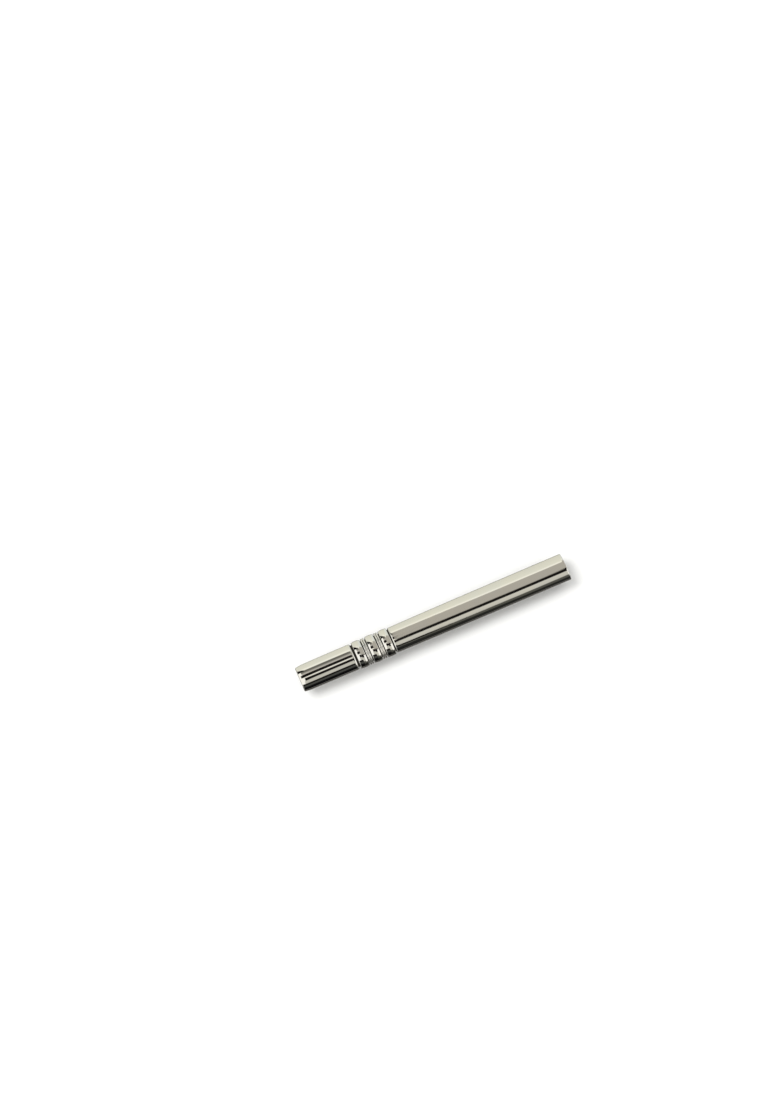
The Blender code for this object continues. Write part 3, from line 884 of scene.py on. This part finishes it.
def floor():
    """The pale floor that the object lies on; reflections don't show it."""
    mesh = bpy.data.meshes.new("floor")
    shape = bmesh.new()
    bmesh.ops.create_grid(shape, x_segments=1, y_segments=1, size=FLOOR_REACH)
    shape.to_mesh(mesh)
    shape.free()
    obj = bpy.data.objects.new("floor", mesh)
    bpy.context.scene.collection.objects.link(obj)
    material, _, shader = principled("floor_paper")
    shader.inputs["Base Color"].default_value = PAPER
    shader.inputs["Roughness"].default_value = 0.9
    shader.inputs["Specular IOR Level"].default_value = 0.0
    obj.data.materials.append(material)
    obj.location = (0.0, 0.0, cad_low.z - FLOOR_GAP * MM)
    obj.visible_glossy = False


# ---------------------------------------------------------------- camera
PICTURE_WIDTH = 780.0
PICTURE_HEIGHT = 1108.0
LENS = 85.0
SENSOR = 36.0
CAMERA_ELEVATION = 76.8                 # degrees
CAMERA_AZIMUTH = -23.66
BAR_SHARE = 0.3712                      # length of the bar as a share of the picture's width
MIDDLE_RIGHT = 0.0555                   # middle of the bar's top, right of and below the picture's middle,
MIDDLE_BELOW = 0.0610                   # as shares of the picture's width and height
CLIP_NEAR, CLIP_FAR = 0.01, 20.0


def camera():
    """Camera at the photograph's angle, far enough for the bar to fill its share of the picture."""
    data = bpy.data.cameras.new("camera")
    data.lens = LENS
    data.sensor_width = SENSOR
    obj = bpy.data.objects.new("camera", data)
    bpy.context.scene.collection.objects.link(obj)
    bpy.context.scene.camera = obj
    e, a = math.radians(CAMERA_ELEVATION), math.radians(CAMERA_AZIMUTH)
    back = Vector((math.sin(a) * math.cos(e), -math.cos(a) * math.cos(e), math.sin(e)))
    focal = LENS / SENSOR * PICTURE_HEIGHT
    length = (cad_high.x - cad_low.x) * math.sqrt(1.0 - back.x ** 2)
    distance = focal * length / (BAR_SHARE * PICTURE_WIDTH)
    target = Vector((0.5 * (cad_low.x + cad_high.x), 0.0, cad_high.z))
    look = (-back).to_track_quat("-Z", "Y")
    yaw = math.atan(MIDDLE_RIGHT * PICTURE_WIDTH / focal)
    pitch = math.atan(MIDDLE_BELOW * PICTURE_HEIGHT / focal)
    turn = Matrix.Rotation(yaw, 4, "Y") @ Matrix.Rotation(pitch, 4, "X")
    obj.rotation_mode = "QUATERNION"
    obj.rotation_quaternion = look @ turn.to_quaternion()
    obj.location = target + back * distance
    data.clip_start = CLIP_NEAR
    data.clip_end = CLIP_FAR


KEY_PLACE = (-0.35, 0.25, 0.7)          # metres
KEY_SIZE = 0.5
KEY_POWER = 4.0                         # watts


def key_light():
    """A soft disk light that gives the object its shadow on the floor."""
    data = bpy.data.lights.new("key", "AREA")
    data.shape = "DISK"
    data.size = KEY_SIZE
    data.energy = KEY_POWER
    obj = bpy.data.objects.new("key", data)
    bpy.context.scene.collection.objects.link(obj)
    obj.location = KEY_PLACE
    obj.rotation_mode = "QUATERNION"
    obj.rotation_quaternion = (-Vector(obj.location)).to_track_quat("-Z", "Y")
    obj.visible_glossy = False


camera()
plate = gunmetal()
steel = plated_steel()
front_piece("long_barrel", plate, long_slimming, LONG_LEFT, LONG_RIGHT, LONG_STEPS)
front_piece("short_barrel", plate, short_slimming, SHORT_LEFT, SHORT_RIGHT, SHORT_STEPS)
for number in (1, 2, 3):
    crowned_piece(f"bead_{number}", plate, BEAD_CROWN, BEAD_EDGE)
for number in (1, 2, 3, 4):
    crowned_piece(f"trim_ring_{number}", plate, RING_CROWN, RING_EDGE)
end_plug("end_plug_mouth", plate)
end_plug("end_plug_hinge", plate)
for number in (1, 2):
    rivet(f"bracket_rivet_{number}", steel)
hinge_pin(steel)
clasp_arm(steel)
dress("hinge_bracket", steel, BRACKET_EDGE)
dress("leaf_spring", spring_steel(), LEAF_EDGE)
dress("core_rail", blackened_brass())
floor()
studio_world()
key_light()
bpy.context.scene.view_settings.view_transform = "Standard"
